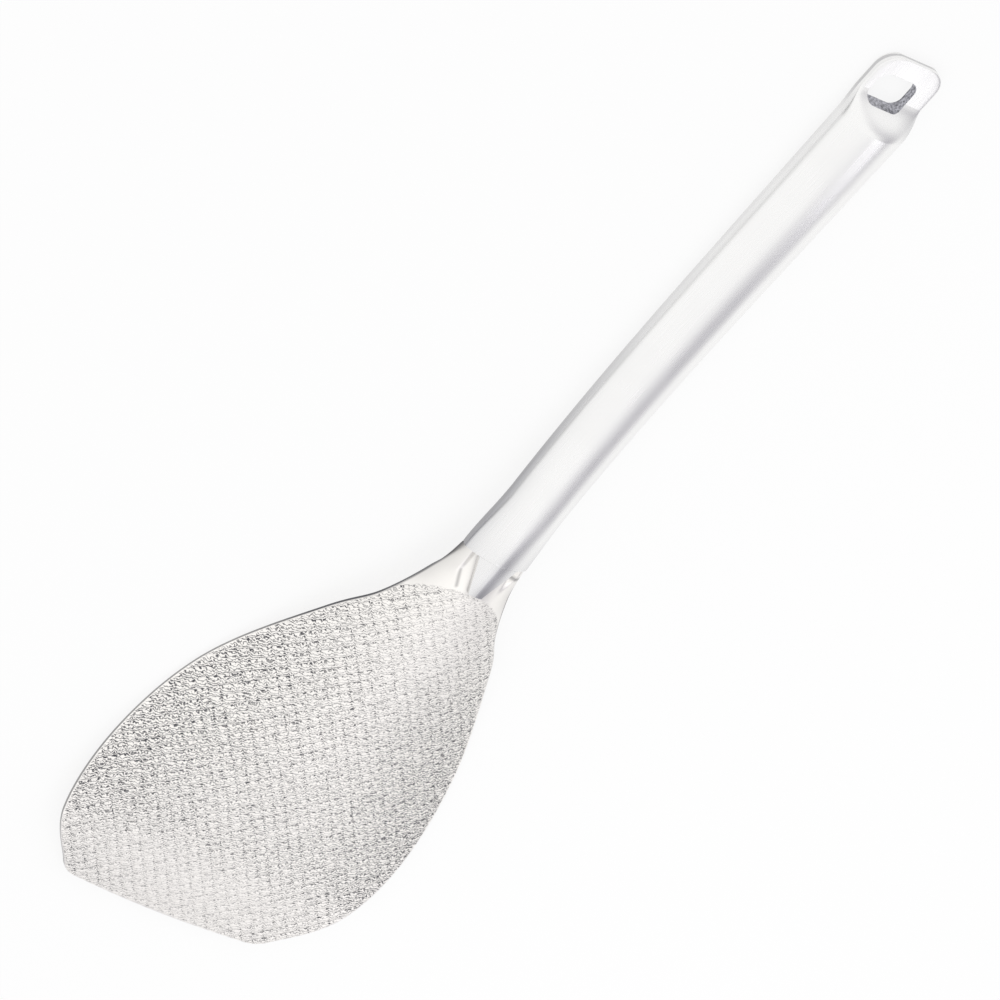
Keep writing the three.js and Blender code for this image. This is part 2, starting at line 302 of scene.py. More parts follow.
    def tongue_half_width(self, place: Array) -> Array:
        """Half width of the back shell's edge, from the tongue's tip out over its shoulders."""
        tongue = self.tongue_edge(place) + corner_inset(place - self.tongue_root, self.tongue_shoulder)
        return np.where(place < self.lip_place, tongue, self.half_width(place))

    def arch(self, place: Array, turn: Array, inset: float) -> Array:
        """Points of the handle's back.

        Args:
            place: Places along the tool, one a row.
            turn: Turn of each point about the handle's middle line, from 0 on the left to pi.
            inset: How far inside the outer face to look.

        Returns:
            Points, in rows and columns.
        """
        peak = self.peak(place)[:, None]
        depth = self.depth(place)
        if inset == 0:
            depth = depth - self.tongue_thinning * (1 - eased(place, 0, self.mouth_place))
        half = (self.half_width(place) - inset)[:, None]
        rise = np.maximum(depth - inset, 0)[:, None]
        side = np.sign(np.cos(turn)) * np.abs(np.cos(turn)) ** peak
        up = np.abs(np.sin(turn)) ** peak
        rows = np.broadcast_to(place[:, None], turn.shape)
        return np.stack([rows, half * side, self.foot(place)[:, None] + rise * up], axis=-1)


@dataclass(frozen=True)
class BladeForm:
    """Sizes of the dished blade, and the curves that follow from them."""

    handle: HandleForm = field(default_factory=HandleForm)
    sheet: float = 1.0 * MM
    length: float = 126 * MM
    width: float = 102.4 * MM
    tip_flat_width: float = 57 * MM
    tip_corner_radius: float = 9 * MM
    tip_corner_turn: float = math.pi * 0.28
    tip_bow: float = 1.0 * MM
    tip_bow_reach: float = 30 * MM
    tip_lift: float = 2.0 * MM
    flank: tuple[tuple[float, float], ...] = (
        (0, 0.265),
        (0.095, 0.38),
        (0.19, 0.555),
        (0.43, 0.878),
        (0.665, 1),
        (0.857, 0.933),
    )
    heel_dish_radius: float = 48.5 * MM
    dish_fade: float = 1.3
    toe_curl_radius: float = 400 * MM
    toe_curl_length: float = 76 * MM
    heel_bend_softness: float = 0.4 * MM
    neck_reach: float = 10.5 * MM
    flange_lap: float = 0.6 * MM
    flange_softness: float = 2.0 * MM
    rim_sharpness: float = 12.0
    trough_margin: float = 0.5 * MM
    trough_slope: float = 2.4 * MM
    knot_steps: int = 40
    corner_points: int = 24

    def middle(self, place: Array) -> Array:
        """Height of the blade's upper face on its middle line.

        Args:
            place: Places along the tool.

        Returns:
            Heights on the neck's line or on the blade's, whichever is lower.
        """
        handle = self.handle
        neck_line = handle.seam_height(place) + handle.tube_depth(place) - handle.lap
        heel = handle.seam_height(0.0) + handle.mouth_depth - handle.lap
        curl_end = self.toe_curl_length**2 / (2 * self.toe_curl_radius)
        fall = (heel - self.sheet - self.tip_lift - curl_end) / self.length
        reach = np.maximum(-place - (self.length - self.toe_curl_length), 0)
        blade_line = heel + fall * place - reach**2 / (2 * self.toe_curl_radius)
        return -soft_larger(-neck_line, -blade_line, self.heel_bend_softness)

    def droop(self, place: Array, half_width: Array) -> Array:
        """How far the long edges lie below the middle line.

        Args:
            place: Places along the tool.
            half_width: Half widths at those places.

        Returns:
            Depths: the dish's, or the neck flange's where that is deeper.
        """
        flattening = np.clip(1 + place / self.length, 0, 1) ** self.dish_fade
        dish = flattening * half_width**2 / (2 * self.heel_dish_radius)
        flange = self.middle(place) - self.handle.seam_height(self.neck_reach) + self.flange_lap
        return soft_larger(dish, flange, self.flange_softness * flattening)

    def neck_face(self, place: Array, aside: Array, half_width: Array) -> Array:
        """Height of the neck at the mouth: flush with the handle, with a trough for the tongue.

        Args:
            place: Places along the tool.
            aside: Distances from the middle line.
            half_width: Half widths at those places.

        Returns:
            Heights of the upper face.
        """
        handle = self.handle
        share = np.clip(np.abs(aside) / half_width, 0, 1)
        rim = handle.lap * share**self.rim_sharpness
        bank = handle.tongue_root_width / 2 + self.trough_margin
        trough = handle.lap * (1 - eased(np.abs(aside), bank, bank + self.trough_slope))
        return handle.foot(place) + handle.crown(place, share) - rim - trough

    def outline(self, rows: int) -> Array:
        """Half of the blade's plan, evenly stepped along its edge from the neck to the tip.

        Args:
            rows: Steps along the edge.

        Returns:
            Pairs of place and half width.
        """
        half = self.width / 2
        flank = [(-along * self.length, aside * half) for along, aside in self.flank]
        turn = np.linspace(math.pi - self.tip_corner_turn, math.pi, self.corner_points)
        corner_x = -self.length + self.tip_corner_radius * (1 + np.cos(turn))
        corner_y = self.tip_flat_width / 2 + self.tip_corner_radius * np.sin(turn)
        corner = np.stack([corner_x, corner_y], axis=1)
        knots = np.array([(self.neck_reach, self.handle.mouth_width / 2), *flank, tuple(corner[0])])
        edge = np.concatenate([curve_through(knots, self.knot_steps * len(knots)), corner[1:]])
        steps = np.hypot(*np.diff(edge, axis=0).T)
        walked = np.concatenate([[0], np.cumsum(steps)])
        even = np.linspace(0, walked[-1], rows + 1)
        return np.stack([np.interp(even, walked, edge[:, i]) for i in range(2)], axis=1)


class Value:
    """A number that a node tree works out, on which the usual operators add Math nodes."""

    def __init__(self, desk: NodeDesk, socket: NodeSocket) -> None:
        """Keep the tree's desk and the socket that gives the number."""
        self.desk = desk
        self.socket = socket

    def math(self, operation: str, *others: Value | float) -> Value:
        """Result of one more Math node that takes this value first."""
        inputs = dict(enumerate((self, *others)))
        return self.desk.value("ShaderNodeMath", inputs, operation=operation)

    def __add__(self, other: Value | float) -> Value:
        """Sum."""
        return self.math("ADD", other)

    __radd__ = __add__

    def __mul__(self, other: Value | float) -> Value:
        """Product."""
        return self.math("MULTIPLY", other)

    __rmul__ = __mul__

    def __sub__(self, other: Value | float) -> Value:
        """Difference."""
        return self.math("SUBTRACT", other)

    def __rsub__(self, other: float) -> Value:
        """Difference from a number."""
        return self * -1.0 + other

    def __truediv__(self, other: Value | float) -> Value:
        """Quotient."""
        return self.math("DIVIDE", other)

    def __pow__(self, other: float) -> Value:
        """Power."""
        return self.math("POWER", other)

    def __abs__(self) -> Value:
        """Size without sign."""
        return self.math("ABSOLUTE")

    def swing(self) -> Value:
        """How far a value from 0 to 1 lies above the middle of that range."""
        return self - 0.5

    def sine(self) -> Value:
        """Sine of an angle."""
        return self.math("SINE")

    def clamped(self) -> Value:
        """The value held between 0 and 1."""
        return self.math("MAXIMUM", 0.0).math("MINIMUM", 1.0)


class NodeDesk:
    """Adds nodes to one tree."""

    def __init__(self, tree: NodeTree) -> None:
        """Keep the tree."""
        self.tree = tree

    @classmethod
    def cleared(cls, owner: Material | World) -> NodeDesk:
        """Desk of a new material's or world's tree.

        Args:
            owner: The material or the world.

        Returns:
            The desk, with no nodes on it.
        """
        owner.use_nodes = True
        owner.node_tree.nodes.clear()
        return cls(owner.node_tree)

    def node(self, kind: str, inputs: dict[Any, Any] | None = None, **settings: Any) -> Node:
        """Add a node.

        Args:
            kind: Blender's name of the node's type.
            inputs: Value or link for each socket, by name or number.
            settings: Properties, set first.

        Returns:
            The node.
        """
        node = self.tree.nodes.new(kind)
        for name, setting in settings.items():
            setattr(node, name, setting)
        for key, given in (inputs or {}).items():
            source = given.socket if isinstance(given, Value) else given
            if isinstance(source, NodeSocket):
                self.tree.links.new(source, node.inputs[key])
            else:
                node.inputs[key].default_value = source
        return node

    def value(self, kind: str, inputs: dict[Any, Any], output: Any = 0, **settings: Any) -> Value:
        """Add a node and give one of its outputs as a value."""
        return Value(self, self.node(kind, inputs, **settings).outputs[output])

    def attribute(self, name: str) -> Value:
        """Number that a mesh stores under a name."""
        return self.value("ShaderNodeAttribute", {}, "Fac", attribute_name=name)

    def noise(self, vector: NodeSocket, scale: float, **more: float) -> Value:
        """Noise from 0 to 1, with the node's other inputs by name."""
        return self.value("ShaderNodeTexNoise", {"Vector": vector, "Scale": scale, **more})

    def split(self, vector: NodeSocket) -> tuple[Value, Value, Value]:
        """Three parts of a vector."""
        node = self.node("ShaderNodeSeparateXYZ", {0: vector})
        return tuple(Value(self, socket) for socket in node.outputs)


@dataclass(frozen=True)
class ScallopPattern:
    """Rows of small raised pillows, set like bricks, that are rolled into the blade's sheet."""

    pitch: float = 4.08 * MM
    height: float = 0.12 * MM
    # Shares of the crinkles' painted shade and depth: less in the middle, at the neck and at the tip,
    # full towards the long edges.
    roundness: float = 0.55
    middle_crinkle_share: float = 0.55
    neck_crinkle_share: float = 0.5
    tip_crinkle_share: float = 0.55
    full_crinkle_place: float = 55 * MM
    tip_start: float = 96 * MM
    tip_end: float = 112 * MM
    crinkle_way: tuple[float, float] = (0.41, -0.91)
    crinkle_pitch: float = 0.8 * MM
    crinkle_length: float = 0.8 * MM
    crinkle_detail: float = 1.0
    crinkle_wander: float = 2.2
    crinkle_arch: float = 0.8
    crinkle_strength: float = 0.75
    crinkle_unevenness: float = 0.5
    # Painted shade in the crinkles, with a faint painted glint on their crests; painted shade in the
    # grooves between the pillows and on the sheet's cut edge.
    crinkle_shade: float = 2.75
    crinkle_onset: float = 0.02
    crinkle_gleam: float = 0.1
    pillow_share: float = 0.7
    groove_power: float = 2.0
    groove_shade: float = 0.4
    cut_edge_shade: float = 0.75
    roughening: float = 0.2
    neck_start: float = -0.3 * MM
    neck_bow: float = 26.0
    edge_softness: float = 0.7 * MM
    rim: float = 0.7 * MM

    def relief(self, place: Array, aside: Array, to_rim: Array) -> Array:
        """How much of the pattern stands at each point: 1 on the blade, 0 on the neck and the rim."""
        from_neck = eased(self.neck_start - self.neck_bow * aside**2 - place, 0, self.edge_softness)
        return from_neck * eased(to_rim, 0, self.rim)

    def crinkle_depth_and_shade(self, place: Array, share: Array) -> Array:
        """How deep the crinkles stand and how much painted shade they take: less in the middle, at the
        neck and at the tip.

        Args:
            place: Places along the tool.
            share: Shares of the way from the middle line to the edge.

        Returns:
            Shares from 0 to 1.
        """
        along = between(self.neck_crinkle_share, 1.0, eased(-place, 0, self.full_crinkle_place))
        along = between(along, self.tip_crinkle_share, eased(-place, self.tip_start, self.tip_end))
        return along * between(self.middle_crinkle_share, 1.0, share**2)

    def crinkles(self, desk: NodeDesk, x: Value, y: Value, pillows: Value) -> Value:
        """Noise of the short crinkles that lie in arcs over the pillows.

        Args:
            desk: Where the nodes go.
            x: Place along the tool.
            y: Distance aside.
            pillows: Height of the pillows.

        Returns:
            Values from 0 to 1.
        """
        along = x * self.crinkle_way[0] + y * self.crinkle_way[1]
        across = y * self.crinkle_way[0] - x * self.crinkle_way[1]
        inputs = {0: along / self.crinkle_length, 1: across / self.crinkle_length}
        vector = desk.node("ShaderNodeCombineXYZ", inputs).outputs[0]
        noise = desk.noise(vector, 1.0, Detail=self.crinkle_detail)
        phase = across / self.crinkle_pitch + noise * self.crinkle_wander + pillows * self.crinkle_arch
        wave = (phase * math.tau).sine() * (noise * self.crinkle_unevenness + self.crinkle_strength)
        return (wave + 1.0) / 2.0

    def pillows(self, x: Value, y: Value) -> Value:
        """Height of the pattern, from 0 in the grooves to 1 on the pillows."""
        turn = math.pi / self.pitch
        return abs(((x + y) * turn).sine() * ((x - y) * turn).sine()) ** self.roundness


@dataclass(frozen=True)
class SteelFinish:
    """A stainless steel surface."""

    name: str
    light: tuple[float, float, float]
    dark: tuple[float, float, float]
    roughness: float
    streaks: float
    grain: float
    grain_size: float = 0.3 * MM
    grain_detail: float = 2.0
    grain_coarseness: float = 0.6
    grain_wander: float = 0.6
    cloudiness: float = 0.06
    cloud_size: float = 14.3 * MM
    cloud_detail: float = 2.0
    cloud_roughness: float = 0.08
    streak_rate: tuple[float, float, float] = (40.0, 2600.0, 2600.0)
    streak_detail: float = 3.0
    streak_tone: float = 0.6
    streak_height: float = 0.1
    tone: float = 0.06
    pattern: ScallopPattern | None = None
    # Whether the piece's painted shade, stored on its points, darkens the steel.
    uses_painted_shade: bool = False

    def material(self) -> Material:
        """Build the finish's material.

        Returns:
            The material, with its nodes.
        """
        material = bpy.data.materials.new(self.name)
        desk = NodeDesk.cleared(material)
        place = desk.node("ShaderNodeTexCoord").outputs["Object"]
        drawn = desk.node("ShaderNodeMapping", {"Vector": place, "Scale": self.streak_rate})
        streak = desk.noise(drawn.outputs[0], 1.0, Detail=self.streak_detail).swing()
        cloud = desk.noise(place, 1.0 / self.cloud_size, Detail=self.cloud_detail).swing()
        rough = self.roughness + streak * self.streaks + cloud * self.cloud_roughness
        shade = cloud * self.cloudiness + streak * self.streak_tone * self.streaks + self.tone
        if self.pattern:
            shade, height, shown = self.with_pattern(desk, place, shade)
            rough = rough + shown * self.pattern.roughening
        else:
            grain = desk.noise(
                place,
                1.0 / self.grain_size,
                Detail=self.grain_detail,
                Roughness=self.grain_coarseness,
                Distortion=self.grain_wander,
            )
            height = grain * self.grain + streak * self.streak_height * self.streaks
        # Painted shade, stored on the mesh's points.
        if self.uses_painted_shade:
            shade = shade + desk.attribute("painted_shade")
        colours = {MIX_LIGHT: (*self.light, 1.0), MIX_DARK: (*self.dark, 1.0), "Factor": shade.clamped()}
        colour = desk.node("ShaderNodeMix", colours, data_type="RGBA").outputs[MIX_RESULT]
        bump = desk.node("ShaderNodeBump", {"Strength": 1.0, "Distance": 1.0, "Height": height * MM})
        surface = {
            "Base Color": colour,
            "Metallic": 1.0,
            "Roughness": rough.clamped(),
            "Normal": bump.outputs[0],
        }
        shader = desk.node("ShaderNodeBsdfPrincipled", surface)
        desk.node("ShaderNodeOutputMaterial", {"Surface": shader.outputs[0]})
        return material

    def with_pattern(self, desk: NodeDesk, place: NodeSocket, shade: Value) -> tuple[Value, ...]:
        """Crinkle the pillows, and paint shade into the crinkles, the grooves between them and the
        sheet's cut edge, with a faint painted glint.

        Args:
            desk: Where the nodes go.
            place: The point's coordinates.
            shade: Darkness of the plain steel.

        Returns:
            The new darkness, the bump in millimetres, and how much of the pattern stands there.
        """
        pattern = self.pattern
        x, y, _ = desk.split(place)
        pillows = pattern.pillows(x, y)
        under = desk.attribute("under_relief")
        depth_and_shade = desk.attribute("crinkle_depth_and_shade")
        # Painted shade in the crinkles and in the grooves between the pillows, with a faint painted glint
        # on the crinkles, and painted shade on the sheet's cut edge.
        shown = (desk.attribute("relief") + under).clamped()
        groove = (1.0 - pillows) ** pattern.groove_power
        crinkles = pattern.crinkles(desk, x, y, pillows)
        dark = crinkles.swing() * -pattern.crinkle_shade - pattern.crinkle_onset
        crinkle = dark.math("MAXIMUM", -pattern.crinkle_gleam) * (groove + pattern.pillow_share)
        relief_shade = (crinkle + groove * pattern.groove_shade) * depth_and_shade * shown
        shade = shade + relief_shade + desk.attribute("cut_edge") * pattern.cut_edge_shade
        height = crinkles * self.grain * shown * depth_and_shade
        height = height + under * (pattern.height / MM) * (1.0 - pillows)
        return shade, height, shown


def mesh_of(name: str, points: Array, faces: list[list[int]]) -> Mesh:
    """Mesh of points and faces, shaded smooth.

    Args:
        name: The mesh's name.
        points: Points, one a row.
        faces: Corner numbers of each face.

    Returns:
        The mesh.
    """
    mesh = bpy.data.meshes.new(name)
    mesh.from_pydata(points.tolist(), [], faces)
    mesh.update()
    smooth(mesh)
    return mesh


def smooth(mesh: Mesh) -> None:
    """Shade a mesh smooth, apart from its sharp edges."""
    mesh.polygons.foreach_set("use_smooth", np.ones(len(mesh.polygons), bool))
    mesh.set_sharp_from_angle(angle=SHARP_EDGE)


def mark(mesh: Mesh, name: str, shares: Array, domain: str = "POINT") -> None:
    """Store a share for each point of a mesh, or for each face."""
    attribute = mesh.attributes.new(name, "FLOAT", domain)
    attribute.data.foreach_set("value", shares.astype(np.float32))


def rings(rows: int, columns: int) -> Array:
    """Numbers of points in rings, one ring a row, each closed by its first point."""
    number = np.arange(rows * columns).reshape(rows, columns)
    return np.column_stack([number, number[:, 0]])


def quads(number: Array) -> list[list[int]]:
    """Faces of a grid of point numbers, with four corners each."""
    corners = (number[:-1, :-1], number[1:, :-1], number[1:, 1:], number[:-1, 1:])
    return np.stack([corner.ravel() for corner in corners], axis=1).tolist()


def closed_sheet(upper: Array, lower: Array, every: int = 1) -> tuple[Array, list[list[int]]]:
    """Closed sheet between two grids of points with the same rows.

    Args:
        upper: Points of the upper face, by row and column, from the left side to the right.
        lower: Points of the lower face, with one column for every so many of the upper face's.
        every: Upper columns to each lower one.

    Returns:
        Points and faces.
    """
    rows, wide = upper.shape[:2]
    narrow = lower.shape[1]
    points = np.concatenate([upper.reshape(-1, 3), lower.reshape(-1, 3)])
    top = np.arange(rows * wide).reshape(rows, wide)
    low = rows * wide + np.arange(rows * narrow).reshape(rows, narrow)
    faces = quads(top) + quads(low[:, ::-1])
    for left, right in ((low[:, 0], top[:, 0]), (top[:, -1], low[:, -1])):
        faces += quads(np.column_stack([left, right]))
    for column in range(narrow - 1):
        above = top[:, column * every : (column + 1) * every + 1]
        faces.append([low[0, column], *above[0], low[0, column + 1]])
        faces.append([low[-1, column + 1], *above[-1, ::-1], low[-1, column]])
    return points, [[int(corner) for corner in face] for face in faces]


def show(data: ID) -> Object:
    """Put a mesh, a lamp or a camera into the scene.

    Args:
        data: What the object shows.

    Returns:
        The object, of the same name.
    """
    shown = bpy.data.objects.new(data.name, data)
    bpy.context.scene.collection.objects.link(shown)
    return shown


def baked(piece: Object) -> Object:
    """Turn what a piece's modifiers make into its own plain mesh.

    Args:
        piece: The piece with its modifiers.

    Returns:
        The same piece without them.
    """
    graph = bpy.context.evaluated_depsgraph_get()
    mesh = bpy.data.meshes.new_from_object(piece.evaluated_get(graph))
    piece.modifiers.clear()
    old = piece.data
    name = old.name
    piece.data = mesh
    bpy.data.meshes.remove(old)
    mesh.name = name
    return piece


def frame_shift(handle: HandleForm) -> Array:
    """Where the tongue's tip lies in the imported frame, at the height of the tab's underside."""
    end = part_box("handle_back_shell")[1].x
    return np.array([end - handle.length, 0.0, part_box("hanging_hole_sleeve")[0].z])


@dataclass
class Blade:
    """Dished blade of embossed sheet, with a smooth neck and rim."""

    form: BladeForm
    shift: Array
    pattern: ScallopPattern = field(default_factory=ScallopPattern)
    rows: int = 330
    columns: int = 216
    lower_every: int = 6
    # Painted shade on the neck: darker towards its rims, a dark line along the blade's rim, shadow round
    # the tongue, a crease line and a short line on the trough's bank.
    neck_rim_shade_reach: float = 12 * MM
    neck_rim_shade_tone: float = 0.34
    neck_rim_shade_power: float = 3.5
    bank_start: tuple[float, float] = (0.0, 5.6 * MM)
    bank_end: tuple[float, float] = (4.3 * MM, 7.4 * MM)
    bank_line_shade: float = 0.45
    bank_width: float = 0.8 * MM
    rim_line_shade: float = 0.6
    line_reach: float = 48 * MM
    line_width: float = 0.55 * MM
    groove_shade: float = 0.6
    groove_width: float = 0.6 * MM
    lit_share: float = 0.6
    crease_place: float = 7.6 * MM
    crease_width: float = 0.6 * MM

    def grids(self) -> tuple[Array, ...]:
        """Points of both faces, and the pattern on the upper one.

        Returns:
            Upper points, lower points, the pattern's relief, and the share of its crinkles' depth and
            painted shade.
        """
        form = self.form
        outline = form.outline(self.rows)
        place, half = outline[:, :1], outline[:, 1:]
        share = np.linspace(1, -1, self.columns + 1)[None, :]
        droop = form.droop(place, half)
        bow = form.tip_bow * eased(-place, form.length - form.tip_bow_reach, form.length)
        x = place - bow * (1 - share**2)
        y = half * share
        dished = form.middle(place) - droop * share**2
        neck = form.neck_face(place, y, half)
        z = between(dished, neck, eased(place, 0, form.neck_reach))
        upper = np.stack([x, y, z], axis=-1)
        across = np.gradient(y, axis=1)
        fall = np.gradient(z, axis=1)
        run = np.hypot(across, fall) / form.sheet
        lower = np.stack([x, y - fall / run, z + across / run], axis=-1)
        to_side = half * (1 - np.abs(share))
        to_tip = form.length + place
        relief = self.pattern.relief(x, y, np.minimum(to_side, to_tip))
        return upper, lower[:, :: self.lower_every], relief, self.pattern.crinkle_depth_and_shade(place, share)

    def painted_shade(self, upper: Array) -> Array:
        """Painted shade on the neck: along its rims, round the tongue and at the mouth.

        Args:
            upper: Points of the upper face.

        Returns:
            Shares from 0 to 1 at each point.
        """
        handle = self.form.handle
        place, aside = upper[..., 0], upper[..., 1]
        half = np.abs(aside).max(axis=1, keepdims=True)
        share = np.abs(aside) / half
        # Painted shade: the neck darkens towards its rims.
        neck_rim_shade = self.neck_rim_shade_tone * eased(place, -self.neck_rim_shade_reach, 0) * share**self.neck_rim_shade_power
        # Painted shade: a thin dark line along the blade's rim.
        line = self.rim_line_shade * eased(place, -self.line_reach, 0)
        line = line * eased(np.abs(aside), half - self.line_width, half)
        # Painted shadow round the tongue's tip and along its right side.
        from_tongue = np.maximum(np.abs(aside) - handle.tongue_edge(place), 0)
        ahead = np.hypot(from_tongue, np.minimum(place, 0))
        shaded = between(self.lit_share, 1.0, eased(-aside, -handle.tongue_tip_width, 0))
        groove = self.groove_shade * np.exp(-ahead / self.groove_width) * shaded
        # Painted shade: a dark crease line across the neck.
        crease = self.groove_shade * hump(place, self.crease_place, self.crease_width)
        crease = crease * eased(-aside, handle.tongue_tip_width / 2, handle.tongue_tip_width)
        # Painted shade: a short dark line along the trough's bank.
        run = np.subtract(self.bank_end, self.bank_start)
        points = upper[..., :2] - self.bank_start
        step = np.clip(points @ run / (run @ run), 0, 1)[..., None]
        from_bank = np.linalg.norm(points - step * run, axis=-1)
        bank = self.bank_line_shade * (1 - eased(from_bank, 0, self.bank_width))
        return np.clip(neck_rim_shade + line + groove + crease + bank, 0, 1)

    def embossing(self) -> NodeTree:
        """Tree that lifts the pattern out of the sheet.

        Returns:
            The tree, with named inputs for the pattern's height and the steel.
        """
        tree = bpy.data.node_groups.new("scallop_embossing", "GeometryNodeTree")
        for name, way, kind in (
            ("Sheet", "INPUT", "NodeSocketGeometry"),
            ("Height", "INPUT", "NodeSocketFloat"),
            ("Steel", "INPUT", "NodeSocketMaterial"),
            ("Sheet", "OUTPUT", "NodeSocketGeometry"),
        ):
            tree.interface.new_socket(name, in_out=way, socket_type=kind)
        desk = NodeDesk(tree)
        given = desk.node("NodeGroupInput").outputs
        place = desk.node("GeometryNodeInputPosition").outputs[0]
        normal = desk.node("GeometryNodeInputNormal").outputs[0]
        relief = desk.value("GeometryNodeInputNamedAttribute", {"Name": "relief"}, data_type="FLOAT")
        x, y, _ = desk.split(place)
        lift = self.pattern.pillows(x, y).swing() * relief * Value(desk, given["Height"])
        offset = desk.node("ShaderNodeVectorMath", {0: normal, "Scale": lift}, operation="SCALE")
        moving = {"Geometry": given["Sheet"], "Offset": offset.outputs[0]}
        moved = desk.node("GeometryNodeSetPosition", moving)
        whole = desk.node("GeometryNodeRealizeInstances", {"Geometry": moved.outputs[0]})
        dressing = {"Geometry": whole.outputs[0], "Material": given["Steel"]}
        dressed = desk.node("GeometryNodeSetMaterial", dressing)
        desk.node("NodeGroupOutput", {0: dressed.outputs[0]})
        return tree

    def build(self, steel: Material) -> Object:
        """Make the blade.

        Args:
            steel: The embossed steel.

        Returns:
            The blade.
        """
        upper, lower, relief, depth_and_shade = self.grids()
        # Painted shade on the neck, stored on both faces.
        painted_shade = self.painted_shade(upper)
        points, faces = closed_sheet(upper + self.shift, lower + self.shift, self.lower_every)
        mesh = mesh_of("embossed_blade", points, faces)
        marks = {
            "relief": (relief, 0 * relief),
            "under_relief": (0 * relief, relief),
            "painted_shade": (painted_shade, painted_shade),
            "crinkle_depth_and_shade": (depth_and_shade, depth_and_shade),
        }
        for name, (over, under) in marks.items():
            mark(mesh, name, np.concatenate([over.ravel(), under[:, :: self.lower_every].ravel()]))
        both_sides = (self.columns + self.columns // self.lower_every) * self.rows
        # Faces of the sheet's cut edge, which take painted shade.
        mark(mesh, "cut_edge", np.arange(len(faces)) >= both_sides, "FACE")
        mesh.materials.append(steel)
        piece = show(mesh)
        modifier = piece.modifiers.new("embossing", "NODES")
        modifier.node_group = self.embossing()
        sockets = modifier.node_group.interface.items_tree
        inputs = {socket.name: socket.identifier for socket in sockets if socket.in_out == "INPUT"}
        modifier[inputs["Height"]] = self.pattern.height
        modifier[inputs["Steel"]] = steel
        return baked(piece)


